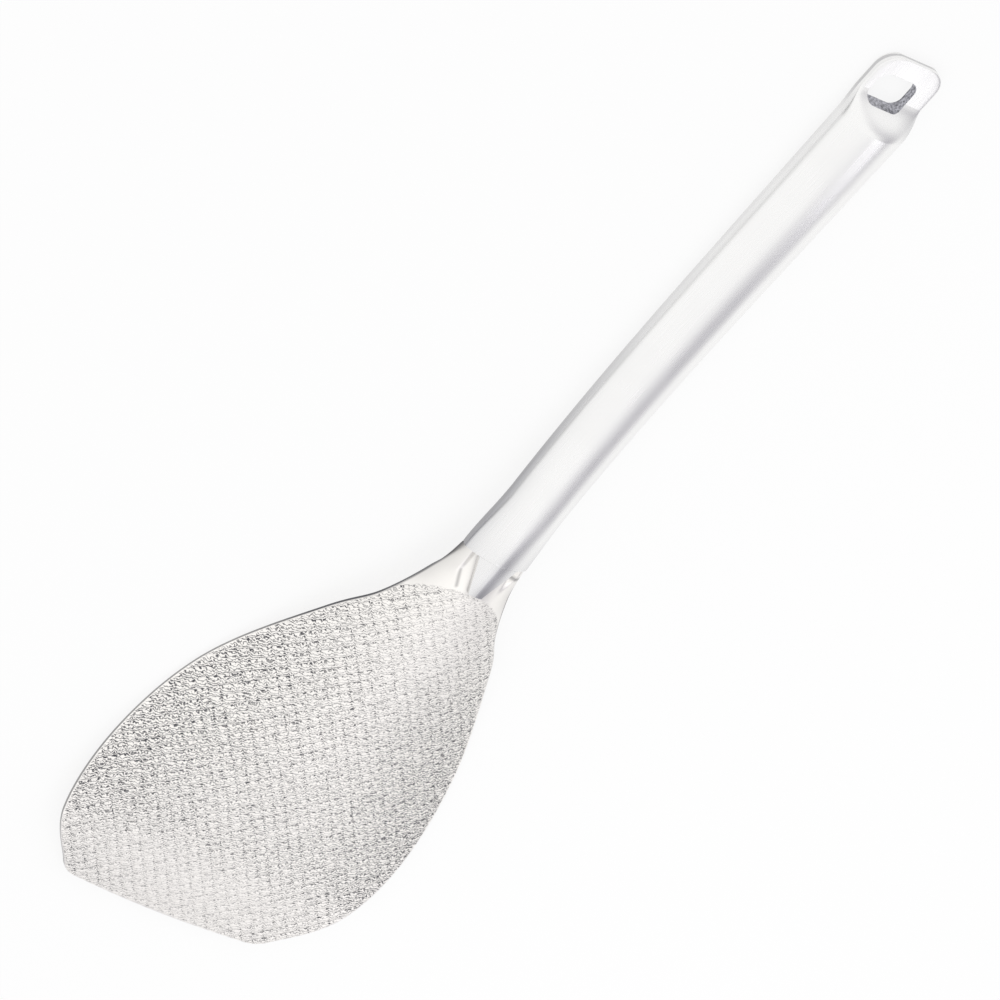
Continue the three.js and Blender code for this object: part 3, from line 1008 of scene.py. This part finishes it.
@dataclass
class Handle:
    """Hollow handle: a crowned back shell, a front plate, the weld between them and the hole's lining."""

    form: HandleForm
    shift: Array
    crown_columns: int = 72
    plate_columns: int = 40
    mouth_steps: int = 28
    grip_steps: int = 70
    ramp_steps: int = 48
    corner_steps: int = 14
    hole_steps: int = 16
    weld_inset: float = 0.6 * MM
    weld_steps: int = 10
    weld_depth: float = 0.6 * MM
    # Painted shade along the seam and the shell's edge beside it: dark at the mouth and round the tab,
    # pale on the tail.
    seam_line_shade: float = 0.38
    weld_fade: float = 0.05
    seam_tail_shade: float = 0.08
    weld_tail_place: float = 130 * MM
    # Painted shade on the back shell: a dark band beside the ridge, a grey mouth, a dark bend to the tab
    # on the right and dark edges.
    ridge_aside: float = -1.4 * MM
    ridge_width: float = 2.2 * MM
    ridge_length: float = 34 * MM
    ridge_shade: float = 0.5
    mouth_shade: float = 0.13
    bend_shade: float = 0.3
    bend_start: float = 0.3
    shell_edge_shade: float = 0.3
    edge_power: float = 6.0
    edge_length: float = 95 * MM
    lip_step: float = 0.02 * MM
    rim_gap: float = 0.04 * MM

    def places(self, start: float) -> Array:
        """Places along the handle, close together where its shape changes fast.

        Args:
            start: Where the piece starts.

        Returns:
            Rising places.
        """
        form = self.form
        turn = np.linspace(0, math.pi / 2, self.corner_steps)
        runs = [
            np.linspace(start, form.tongue_root, self.mouth_steps),
            form.tongue_root + form.tongue_shoulder * np.sin(turn) - self.lip_step,
            np.linspace(form.lip_place, form.waist_place, self.mouth_steps),
            np.linspace(form.waist_place, form.ramp_head, self.grip_steps),
            np.linspace(form.ramp_head, form.ramp_foot, self.ramp_steps),
            form.length - form.tab_corner_radius * (1 - np.sin(turn)),
        ]
        return np.unique(np.concatenate(runs).round(PLACE_DECIMALS))

    def back(self) -> Object:
        """Make the crowned back shell with its tongue.

        Returns:
            The shell, pierced by the hanging hole.
        """
        form = self.form
        place = self.places(0.0)
        width_share = np.clip(form.tongue_half_width(place) / form.half_width(place), 0, 1)
        edge = np.arccos(width_share ** (1 / form.peak(place)))
        share = np.linspace(0, 1, self.crown_columns + 1)
        turn = edge[:, None] + share[None, :] * (math.pi - 2 * edge[:, None])
        upper = form.arch(place, turn, 0.0)
        welded = upper - np.array([0, 0, form.lap])
        on_neck = (place < form.lip_place)[:, None, None]
        lower = np.where(on_neck, welded, form.arch(place, turn, form.sheet))
        points, faces = closed_sheet(upper + self.shift, lower + self.shift)
        piece = self.pierced(show(mesh_of("handle_back", points, faces)))
        # Painted shade on the shell, stored on its points.
        mark(piece.data, "painted_shade", self.painted_shade(piece.data))
        return piece

    def painted_shade(self, mesh: Mesh) -> Array:
        """Painted shade on the back shell: on the ridge, along the edges, at the mouth and in the bend to
        the tab.

        Args:
            mesh: The back shell.

        Returns:
            How far each point goes from light steel to dark.
        """
        points = np.empty(3 * len(mesh.vertices))
        mesh.vertices.foreach_get("co", points)
        place, aside, _ = (points.reshape(-1, 3) - self.shift).T
        form = self.form
        # Painted shade: a dark band beside the ridge at the mouth.
        ridge = hump(aside, self.ridge_aside, self.ridge_width)
        ridge = self.ridge_shade * ridge * (1 - eased(place, 0, self.ridge_length))
        share = np.clip(np.abs(aside) / form.half_width(place), 0, 1)
        # Painted shade along the shell's edges.
        edge = self.painted_edge_shade(place) * share**self.edge_power
        # Painted shade: a dark line along the seam at the shell's edge.
        seam = self.painted_seam_shade(place) * eased(share, 1 - self.weld_fade, 1) * (1 - form.ramp(place))
        # Painted shade: the shell greys towards the mouth.
        mouth = self.mouth_shade * (1 - eased(place, 0, form.waist_place))
        # Painted shade in the bend down to the tab, on the right side.
        ramp = (place - form.ramp_head) / form.ramp_length
        bend = self.bend_shade * np.clip(4 * ramp * (1 - ramp), 0, 1)
        bend = bend * eased(share * np.sign(-aside), self.bend_start, 1)
        return ridge + edge + seam + mouth + bend

    def painted_edge_shade(self, place: Array) -> Array:
        """Painted shade along the edges: most at the mouth."""
        return self.shell_edge_shade * (1 - eased(place, 0, self.edge_length))

    def painted_seam_shade(self, place: Array) -> Array:
        """Painted shade along the seam's weld: dark at the mouth and round the tab, pale on the tail
        between them.
        """
        pale = eased(place, self.form.waist_place, self.weld_tail_place) * (1 - self.form.ramp(place))
        return between(self.seam_line_shade, self.seam_tail_shade, pale)

    def front(self) -> Object:
        """Make the front plate, bowed down between the neck and the tab.

        Returns:
            The plate, pierced by the hanging hole.
        """
        form = self.form
        place = self.places(form.nose_place)
        inset = self.weld_inset / 2
        end = form.length - inset
        place = np.append(place[place < end - self.lip_step], end)
        half = form.plate_half_width(place) - np.where(place > form.lip_place, inset, 0)
        share = np.linspace(1, -1, self.plate_columns + 1)[None, :]
        drop = form.front_drop(place)[:, None] * (1 - share**2) + form.clearance / 2
        rows = np.broadcast_to(place[:, None], drop.shape)
        upper = np.stack([rows, half[:, None] * share, form.seam_height(place)[:, None] - drop], axis=-1)
        lower = upper - np.array([0, 0, form.sheet])
        points, faces = closed_sheet(upper + self.shift, lower + self.shift)
        return self.pierced(show(mesh_of("handle_front", points, faces)))

    def hole(self, margin: float) -> Array:
        """Outline of the hanging hole, widened evenly.

        Args:
            margin: How far outside the hole's own edge.

        Returns:
            Points of place and distance aside, anticlockwise.
        """
        form = self.form
        radius = form.hole_corner_radius + margin
        reach = np.array([form.hole_length, form.hole_width]) / 2 + margin - radius
        middle = np.array([form.hole_place, form.hole_offset])
        outline = []
        for quarter, signs in enumerate(((1, 1), (-1, 1), (-1, -1), (1, -1))):
            turn = (quarter + np.linspace(0, 1, self.hole_steps)) * math.pi / 2
            bend = radius * np.stack([np.cos(turn), np.sin(turn)], axis=1)
            outline.append(middle + reach * signs + bend)
        return np.concatenate(outline)

    def pierced(self, piece: Object) -> Object:
        """Cut the hanging hole, with room for its lining.

        Args:
            piece: A sheet of the handle.

        Returns:
            The same piece, with the hole.
        """
        outline = self.hole(self.rim_gap)
        heights = np.repeat([-self.form.length, self.form.length], len(outline))
        points = np.column_stack([np.concatenate([outline, outline]), heights])
        number = rings(2, len(outline))
        ends = [number[0, -2::-1].tolist(), number[1, :-1].tolist()]
        cutter = show(mesh_of("hole_cutter", points + self.shift, quads(number[:, ::-1]) + ends))
        cut = piece.modifiers.new("hole", "BOOLEAN")
        cut.operation = "DIFFERENCE"
        cut.solver = "EXACT"
        cut.object = cutter
        baked(piece)
        bpy.data.objects.remove(cutter)
        smooth(piece.data)
        return piece

    def lining(self) -> Object:
        """Make the sleeve that lines the hanging hole, flush with both sheets.

        Returns:
            The sleeve.
        """
        inner = self.hole(0.0)
        outer = self.hole(self.form.sleeve_wall)
        top = self.form.back_height(*inner.T) - self.rim_gap
        low = np.full(len(inner), self.rim_gap)
        walls = [(outer, low), (inner, low), (inner, top), (outer, top)]
        points = np.concatenate([np.column_stack([outline, height]) for outline, height in walls])
        number = rings(len(walls), len(inner))
        faces = quads(np.vstack([number, number[:1]]))
        return show(mesh_of("hole_lining", points + self.shift, faces))

    def seam_route(self) -> Array:
        """Walk along the seam: up one side from the mouth, round the tab's end and down the other.

        Returns:
            Points, one a row.
        """
        form = self.form
        place = self.places(form.lip_place)
        place = place[place >= form.lip_place]
        side = np.column_stack([place, form.half_width(place), form.seam_height(place)])
        other = side[::-1] * np.array([1, -1, 1])
        return np.concatenate([side, other])

    def seam_weld(self) -> Object:
        """Make the weld that closes the seam, ground round from the back's face to the plate's.

        Returns:
            The weld, a closed strip.
        """
        form = self.form
        route = self.seam_route()
        along = np.gradient(route[:, :2], axis=0)
        along /= np.hypot(*along.T)[:, None]
        outward = np.column_stack([-along[:, 1], along[:, 0]])
        share = 1 - self.weld_inset / form.half_width(route[:, 0])
        fall = form.clearance + form.sheet + form.front_drop(route[:, 0]) * (1 - share**2)
        fall = fall + self.weld_depth * (1 - eased(route[:, 0], form.lip_place, form.waist_place))
        turn = np.linspace(0, math.pi / 2, self.weld_steps)
        columns = []
        for angle in turn:
            inset = self.weld_inset * (1 - math.cos(angle))
            columns.append((route[:, :2] - inset * outward, -fall * math.sin(angle)))
        columns.append((route[:, :2] - self.weld_inset * outward, np.zeros(len(route))))
        seam = route[:, 2] + form.clearance / 2
        points = np.stack([np.column_stack([plan, seam + rise]) for plan, rise in columns], axis=1)
        number = rings(*points.shape[:2])
        ends = [number[0, :-1].tolist(), number[-1, -2::-1].tolist()]
        mesh = mesh_of("seam_weld", points.reshape(-1, 3) + self.shift, quads(number) + ends)
        # Painted shade along the handle's edge, carried by the weld.
        dark = self.painted_seam_shade(route[:, 0]) + self.painted_edge_shade(route[:, 0])
        mark(mesh, "painted_shade", np.repeat(dark, points.shape[1]))
        return show(mesh)


@dataclass(frozen=True)
class Studio:
    """Pale floor, soft studio light and a long lens at the photograph's angle."""

    right: tuple[float, float, float] = (0.6151, -0.7308, 0.2959)
    up: tuple[float, float, float] = (0.6809, 0.3031, -0.6667)
    aim: tuple[float, float, float] = (-28.7 * MM, 0.0, 13.2 * MM)
    aim_pixel: tuple[float, float] = (475.78, 599.23)
    picture: float = 1000.0
    pixels_per_metre: float = 3978.0
    distance: float = 5.0
    view_limit: float = 36.0
    floor_size: float = 12.0
    floor_gap: float = 0.3 * MM
    floor_tone: float = 0.96
    sky_tone: float = 1.04
    panel_side: tuple[float, float] = (-0.5, -0.87)
    panel_height: float = 0.56
    panel_spread: float = 0.26
    panel_power: float = 0.5
    panel_tint: tuple[float, float, float] = (0.68, 0.69, 0.645)
    low_depth: float = 0.9
    low_reach: float = 0.38
    low_side: float = -0.45
    low_spread: float = 0.15
    floor_glow: float = 0.8

    def camera(self) -> None:
        """Put the camera where the photograph was taken from."""
        right = Vector(self.right).normalized()
        up = Vector(self.up)
        up = (up - right * up.dot(right)).normalized()
        back = right.cross(up)
        aside = (self.picture / 2 - self.aim_pixel[0]) / self.pixels_per_metre
        rise = (self.aim_pixel[1] - self.picture / 2) / self.pixels_per_metre
        centre = Vector(self.aim) + right * aside + up * rise
        data = bpy.data.cameras.new("long_lens")
        data.sensor_fit = "HORIZONTAL"
        data.angle = 2 * math.atan(self.picture / self.pixels_per_metre / 2 / self.distance)
        data.clip_end = self.view_limit
        camera = show(data)
        turn = Matrix((right, up, back)).transposed().to_4x4()
        camera.matrix_world = Matrix.Translation(centre + back * self.distance) @ turn
        bpy.context.scene.camera = camera

    def floor(self, lowest: float) -> None:
        """Lay a pale floor that takes a soft shadow.

        Args:
            lowest: Height of the object's lowest point.
        """
        half = self.floor_size / 2
        level = lowest - self.floor_gap
        signs = ((-1, -1), (1, -1), (1, 1), (-1, 1))
        corners = np.array([(half * x, half * y, level) for x, y in signs])
        floor = show(mesh_of("pale_floor", corners, [[0, 1, 2, 3]]))
        material = bpy.data.materials.new("pale_floor")
        desk = NodeDesk.cleared(material)
        path = desk.node("ShaderNodeLightPath").outputs
        rays = ("Is Camera Ray", "Is Glossy Ray", "Is Transmission Ray")
        seen, mirrored, through = (Value(desk, path[ray]) for ray in rays)
        matt = desk.node("ShaderNodeBsdfDiffuse", {"Color": (*[self.floor_tone] * 3, 1.0)})
        white = desk.node("ShaderNodeEmission", {"Color": (1.0, 1.0, 1.0, 1.0), "Strength": 1.0})
        shown = (seen + mirrored + through).clamped() * self.floor_glow
        mixed = desk.node("ShaderNodeMixShader", {0: shown, 1: matt.outputs[0], 2: white.outputs[0]})
        desk.node("ShaderNodeOutputMaterial", {"Surface": mixed.outputs[0]})
        floor.data.materials.append(material)
        floor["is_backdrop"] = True

    def sky(self) -> None:
        """Light the tool by a bright tent, with a grey panel on the right and a low one on the left."""
        world = bpy.data.worlds.new("soft_tent")
        desk = NodeDesk.cleared(world)
        direction = desk.node("ShaderNodeTexCoord").outputs["Generated"]
        x, y, z = desk.split(direction)
        far = (x * self.panel_side[0] + y * self.panel_side[1]).clamped() ** self.panel_power
        off = abs((z - self.panel_height) / self.panel_spread)
        panel = (1.0 - off * off).clamped() * far
        turned = ((x - self.low_side) / self.low_spread).clamped()
        low = (1.0 - z / self.low_reach).clamped() * y.clamped() * turned * self.low_depth
        tones = [self.sky_tone - panel * tint - low for tint in self.panel_tint]
        colour = desk.node("ShaderNodeCombineColor", dict(enumerate(tones)))
        glow = desk.node("ShaderNodeBackground", {"Color": colour.outputs[0], "Strength": 1.0})
        desk.node("ShaderNodeOutputWorld", {"Surface": glow.outputs[0]})
        bpy.context.scene.world = world

    def lamp(self, target: Lamp) -> None:
        """Hang a small soft lamp where a face of the tool mirrors it.

        Args:
            target: Which lamp.
        """
        place, toward, distance, size, power = target.value
        data = bpy.data.lights.new(target.name.lower(), "AREA")
        data.shape = "DISK"
        data.size = size
        data.energy = power
        way = Vector(toward).normalized()
        lamp = show(data)
        turn = way.to_track_quat("Z", "Y").to_matrix().to_4x4()
        lamp.matrix_world = Matrix.Translation(Vector(place) + way * distance) @ turn


FINISHES = {
    "blade": SteelFinish(
        "embossed_steel", light=(1.0, 0.975, 0.94), dark=(0.1, 0.1, 0.11),
        roughness=0.3, streaks=0.05, grain=0.06, cloudiness=0.04, tone=0.0,
        pattern=ScallopPattern(), uses_painted_shade=True,
    ),
    "handle": SteelFinish(
        "satin_steel", light=(0.95, 0.945, 0.935), dark=(0.25, 0.25, 0.28),
        roughness=0.28, streaks=0.08, grain=0.001, uses_painted_shade=True,
    ),
    "plate": SteelFinish(
        "satin_plate_steel", light=(0.92, 0.915, 0.905), dark=(0.4, 0.4, 0.42),
        roughness=0.28, streaks=0.1, grain=0.002,
    ),
    # Painted shade: the lining's dark, mottled colour stands for the shade inside the hanging hole.
    "lining": SteelFinish(
        "hole_wall_shaded_steel", light=(0.58, 0.58, 0.63), dark=(0.1, 0.1, 0.11),
        roughness=0.45, streaks=0.3, grain=0.01, cloudiness=2.5, cloud_size=0.7 * MM, tone=0.4,
    ),
    "weld": SteelFinish(
        "ground_weld_steel", light=(0.93, 0.925, 0.92), dark=(0.2, 0.2, 0.22),
        roughness=0.32, streaks=0.1, grain=0.004, cloudiness=0.1, uses_painted_shade=True,
    ),
}


def settle(piece: Object, slot: str, *nodes: str) -> None:
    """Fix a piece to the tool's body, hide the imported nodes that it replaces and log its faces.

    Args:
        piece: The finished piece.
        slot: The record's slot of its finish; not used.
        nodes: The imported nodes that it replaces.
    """
    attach(piece, BODY)
    if nodes:
        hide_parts(*nodes)
    LOG.info("%s: %d faces", piece.name, len(piece.data.polygons))


def main() -> None:
    """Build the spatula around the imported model."""
    logging.basicConfig(level=logging.INFO, format="%(name)s: %(message)s")
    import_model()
    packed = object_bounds()
    steels = {name: finish.material() for name, finish in FINISHES.items()}
    handle_form = HandleForm()
    shift = frame_shift(handle_form)

    blade = Blade(BladeForm(handle_form), shift).build(steels["blade"])
    settle(blade, "embossed_blade_steel", "blade")

    handle = Handle(handle_form, shift)
    for piece, steel, slot, *nodes in (
        (handle.back(), "handle", "satin_handle_steel", "handle_back_shell"),
        (handle.front(), "plate", "satin_plate_steel", "handle_front_plate"),
        (handle.lining(), "lining", "bright_sleeve_steel", "hanging_hole_sleeve"),
        (handle.seam_weld(), "weld", "satin_handle_steel"),
    ):
        piece.data.materials.append(steels[steel])
        settle(piece, slot, *nodes)

    studio = Studio()
    studio.camera()
    studio.floor(packed[0][2])
    studio.sky()
    for target in Lamp:
        studio.lamp(target)
    bpy.context.scene.view_settings.view_transform = "Standard"


if __name__ == "__main__":
    main()
